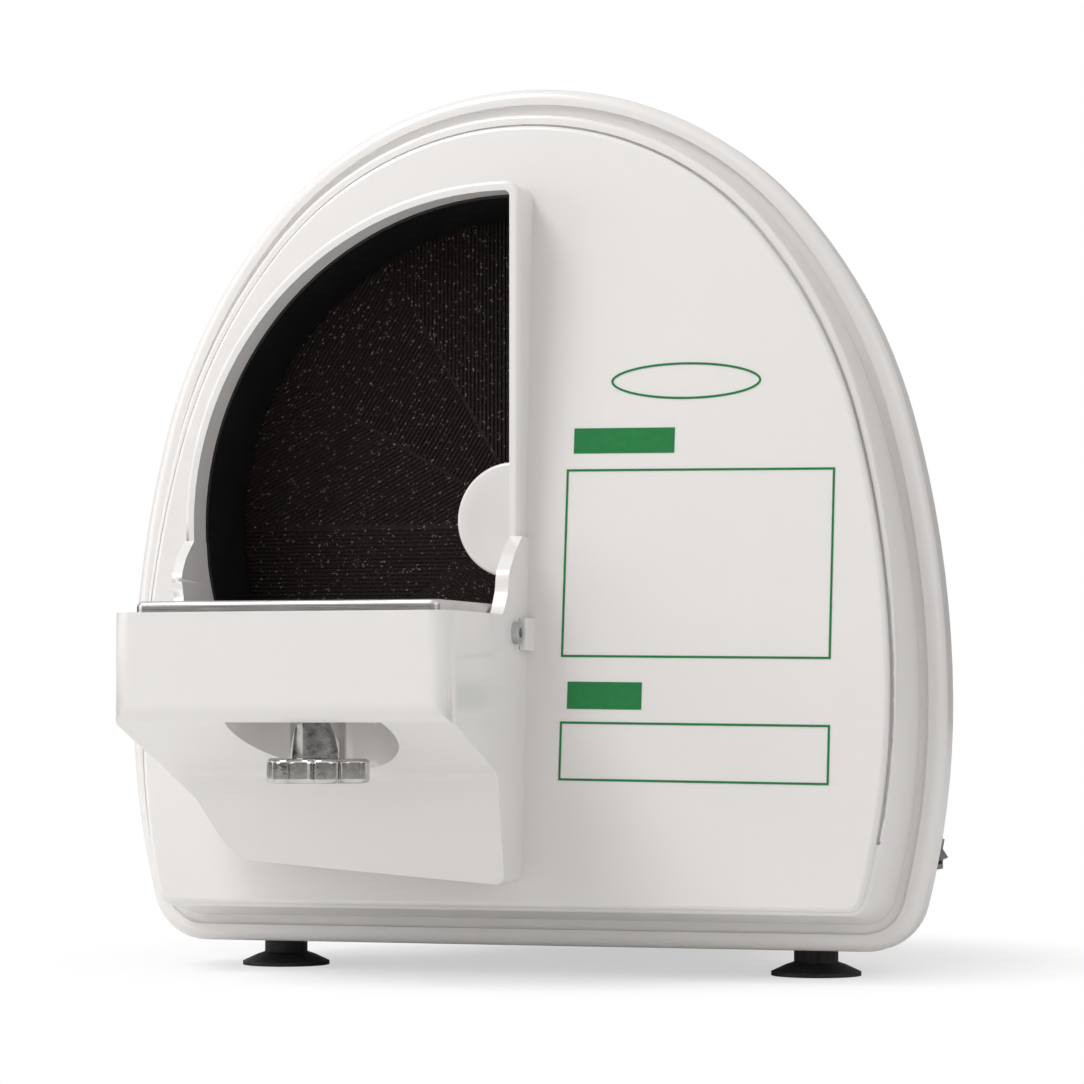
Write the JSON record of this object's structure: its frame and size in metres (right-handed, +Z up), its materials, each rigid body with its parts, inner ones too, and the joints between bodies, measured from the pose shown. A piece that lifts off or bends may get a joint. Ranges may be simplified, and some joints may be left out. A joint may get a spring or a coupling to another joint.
{
  "type": "dental model trimmer",
  "caption": "Bench trimmer for dental stone models: egg-shaped white casing, wet abrasive disc in a framed window, tilting steel table over a hopper tray, motor hood and suction feet.",
  "frame": {"origin": "on the bench, under the middle of the outer box", "axes": "+Z up, the grinding window faces -Y, +X is to the right seen from the front"},
  "size_m": [0.352, 0.47, 0.367],
  "materials": {
    "casing_white": "gloss",
    "ring_black": "satin",
    "grit_dark": "matte",
    "aluminium_cast": "satin",
    "stainless": "brushed",
    "chrome_bright": "polished",
    "zinc_steel": "satin",
    "laminated_steel": "matte",
    "motor_grey": "satin",
    "rubber_black": "matte",
    "brass": "satin",
    "plastic_grey": "satin",
    "plastic_black": "satin"
  },
  "bodies": {
    "housing": {"front_casing": "casing_white", "rear_casing": "casing_white", "motor_hood": "casing_white", "fan_grille": "plastic_grey", "wheel_chamber": "stainless", "shaft_seal": "rubber_black", "drain_pipe": "plastic_grey", "splash_ring": "ring_black", "motor_frame": "motor_grey", "stator": "laminated_steel", "motor_front_bell": "aluminium_cast", "front_bearing": "zinc_steel", "motor_rear_bell": "aluminium_cast", "rear_bearing": "zinc_steel", "fan_cowl": "motor_grey", "motor_cradle": "zinc_steel", "base_plate": "zinc_steel", "tray_housing": "casing_white", "tray_lug_right": "casing_white", "tray_lug_left": "casing_white", "pivot_screw_right": "zinc_steel", "pivot_screw_left": "zinc_steel", "pivot_spacer_right": "brass", "pivot_spacer_left": "brass", "adjuster_bush": "brass", "guide_post": "zinc_steel", "switch_bezel": "plastic_grey", "inlet_valve": "brass", "water_tube": "plastic_grey", "cable_gland": "plastic_black", "run_capacitor": "plastic_grey", "capacitor_clip": "zinc_steel", "hood_screws": "zinc_steel", "foot_front_left": "rubber_black", "foot_stud_front_left": "zinc_steel", "foot_front_right": "rubber_black", "foot_stud_front_right": "zinc_steel", "foot_rear_left": "rubber_black", "foot_stud_rear_left": "zinc_steel", "foot_rear_right": "rubber_black", "foot_stud_rear_right": "zinc_steel"},
    "spindle": {"motor_shaft": "zinc_steel", "rotor_core": "laminated_steel", "disc_carrier": "aluminium_cast", "abrasive_disc": "grit_dark", "disc_bolt": "zinc_steel", "hub_cap": "casing_white", "cooling_fan": "plastic_black"},
    "table": {"table_plate": "stainless", "table_bracket": "stainless"},
    "adjuster": {"star_knob": "chrome_bright", "adjuster_screw": "zinc_steel"},
    "lift": {"lift_nut": "brass"},
    "rocker": {"switch_rocker": "plastic_grey"},
    "valve": {"valve_lever": "chrome_bright"}
  },
  "joints": [
    {"name": "spindle_spin", "type": "hinge", "parent": "housing", "child": "spindle", "pos_m": [0, 0, 0.1863], "axis": [0, 1, 0], "continuous": true},
    {"name": "adjuster_turn", "type": "hinge", "parent": "housing", "child": "adjuster", "pos_m": [-0.052, -0.212, 0.0848], "axis": [0, 0, 1], "range_deg": [-942.5, 1508]},
    {"name": "lift_slide", "type": "slide", "parent": "housing", "child": "lift", "axis": [0, 0, 1], "range_m": [-0.00839, 0.00525]},
    {"name": "table_tilt", "type": "hinge", "parent": "housing", "child": "table", "pos_m": [0, -0.152, 0.1395], "axis": [1, 0, 0], "range_deg": [-5, 8]},
    {"name": "switch_rock", "type": "hinge", "parent": "housing", "child": "rocker", "pos_m": [0.1577, -0.048, 0.05], "axis": [0, 1, 0], "range_deg": [0, 22]},
    {"name": "valve_turn", "type": "hinge", "parent": "housing", "child": "valve", "pos_m": [-0.12, 0.017, 0.08], "axis": [0, 0, 1], "range_deg": [0, 90]}
  ],
  "couplings": [
    {"joint": "lift_slide", "follows": "adjuster_turn", "m_per_rad": -0.00031831},
    {"joint": "table_tilt", "follows": "adjuster_turn", "ratio": 0.0053052}
  ]
}
